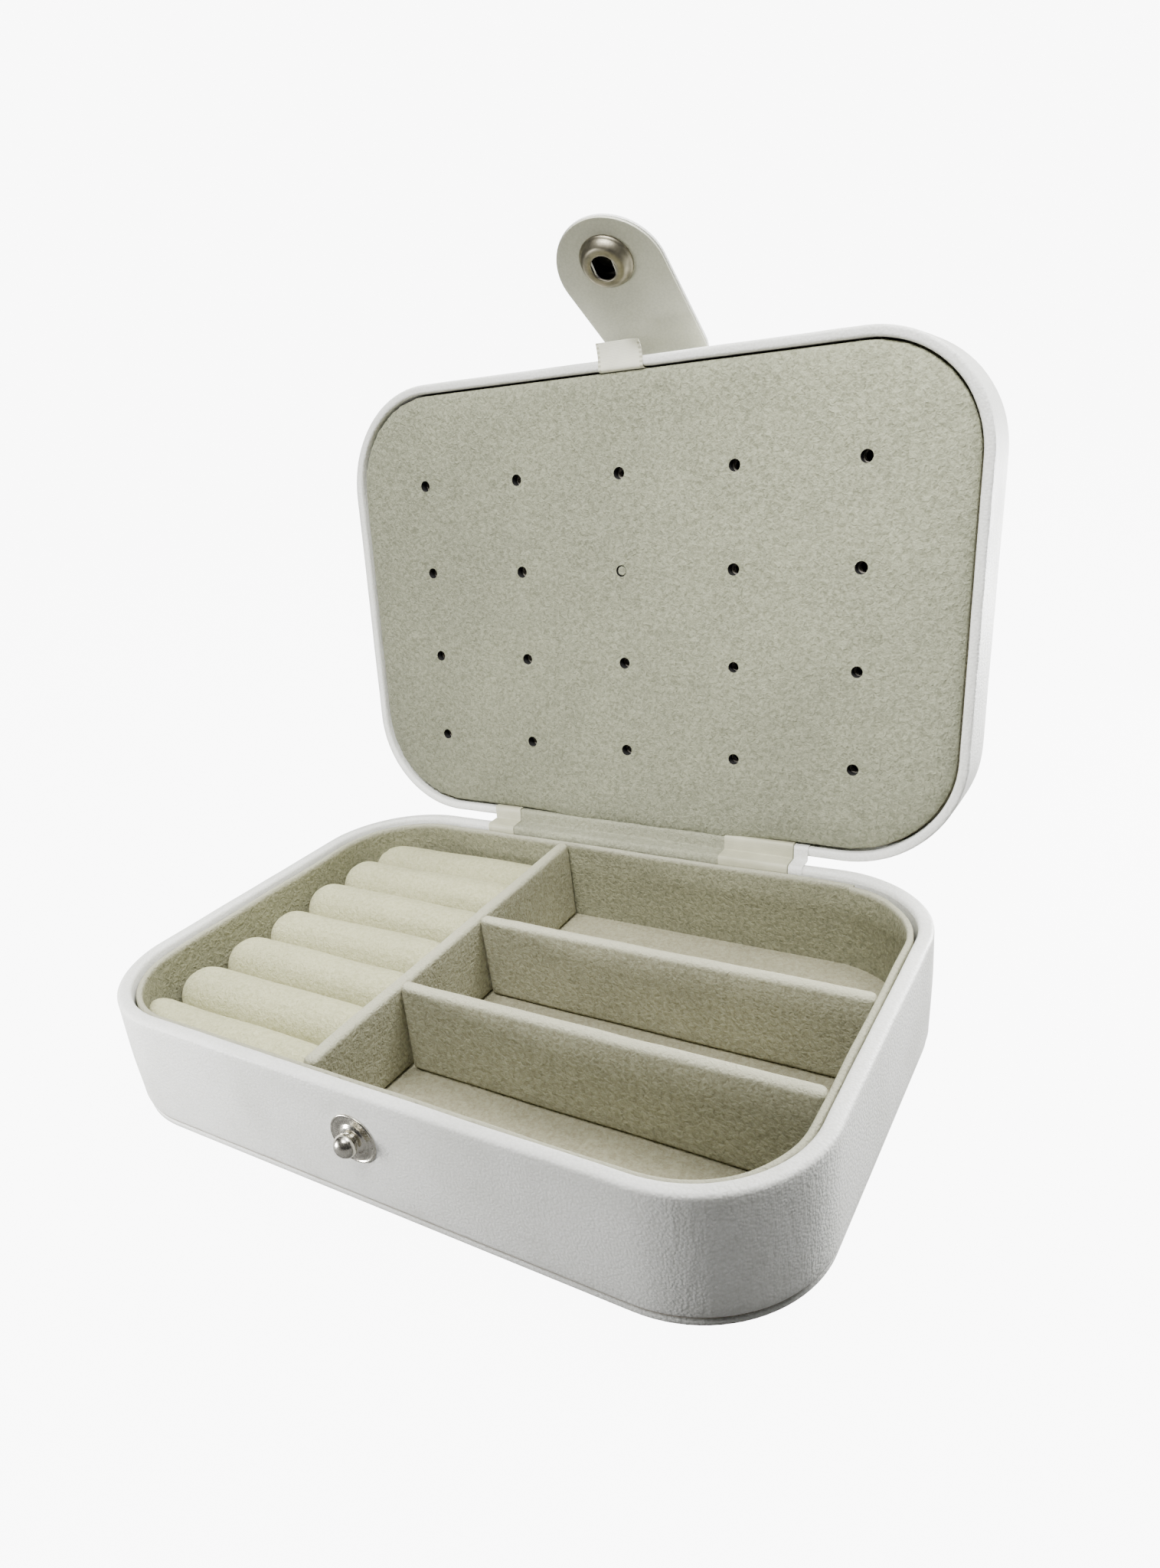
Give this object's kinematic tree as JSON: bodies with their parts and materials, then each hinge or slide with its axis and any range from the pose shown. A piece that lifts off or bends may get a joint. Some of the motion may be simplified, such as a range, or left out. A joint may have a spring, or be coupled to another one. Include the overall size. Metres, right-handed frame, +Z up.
{
  "type": "jewelry box",
  "caption": "Travel jewelry box with rounded corners, hinged lid with a velvet earring panel, ring rolls, divided compartments and a strap that snaps shut.",
  "frame": {"origin": "centre of the underside of the base", "axes": "+X to the right along the front, +Y to the hinge at the back, +Z up"},
  "size_m": [0.165, 0.151, 0.1717],
  "materials": {
    "white_leather": "white coated cloth with a fine pebbled grain, satin",
    "strap_lining": "smooth off-white coated cloth, matte",
    "grey_board": "plain grey board",
    "grey_velvet": "short velvet, warm grey, matte with sheen",
    "cream_velvet": "short velvet over a soft filling, cream",
    "foam": "thin open foam",
    "backing_paper": "plain backing paper",
    "satin": "satin ribbon, cream white",
    "hinge_cloth": "thin velvet strip, warm grey",
    "nickel": "bright nickel plate",
    "spring_steel": "drawn wire"
  },
  "bodies": {
    "base": {"bottom_cover": "white_leather", "bottom_board": "grey_board", "base_wall": "grey_board", "base_wrap": "white_leather", "tray_board": "grey_board", "floor_card": "grey_velvet", "base_liner": "grey_velvet", "long_divider": "grey_velvet", "front_cross_divider": "grey_velvet", "rear_cross_divider": "grey_velvet", "ring_roll_1": "cream_velvet", "ring_roll_2": "cream_velvet", "ring_roll_3": "cream_velvet", "ring_roll_4": "cream_velvet", "ring_roll_5": "cream_velvet", "ring_roll_6": "cream_velvet", "ring_roll_7": "cream_velvet", "snap_stud": "nickel", "stud_rivet": "nickel", "hinge_strip": "hinge_cloth", "hinge_ribbon_left": "satin", "hinge_ribbon_right": "satin"},
    "earring_panel": {"panel_velvet": "grey_velvet", "panel_foam": "foam", "panel_board": "grey_board", "panel_backing": "backing_paper", "pull_ribbon": "satin"},
    "lid": {"lid_wall": "grey_board", "lid_wrap": "white_leather", "lid_cover": "white_leather", "lid_board": "grey_board", "lid_lining": "grey_velvet", "lid_liner": "grey_velvet", "strap_root": "white_leather", "strap_fold": "white_leather"},
    "strap": {"strap_leather": "white_leather", "strap_lining": "strap_lining", "snap_socket": "nickel", "socket_spring": "spring_steel", "snap_cap": "nickel"}
  },
  "joints": [
    {"name": "panel_hinge", "type": "hinge", "parent": "base", "child": "earring_panel", "pos_m": [0, 0.0581, 0.0286], "axis": [1, 0, 0], "range_deg": [0, 95.5], "deforming": ["hinge_strip", "hinge_ribbon_left", "hinge_ribbon_right"]},
    {"name": "lid_hinge", "type": "hinge", "parent": "earring_panel", "child": "lid", "pos_m": [0, 0.0581, 0.0286], "axis": [1, 0, 0], "range_deg": [-75, 0]},
    {"name": "strap_bend", "type": "hinge", "parent": "lid", "child": "strap", "pos_m": [0, 0.08197, 0.14244], "axis": [1, 0, 0], "range_deg": [-46, 44], "deforming": ["strap_fold"]}
  ]
}
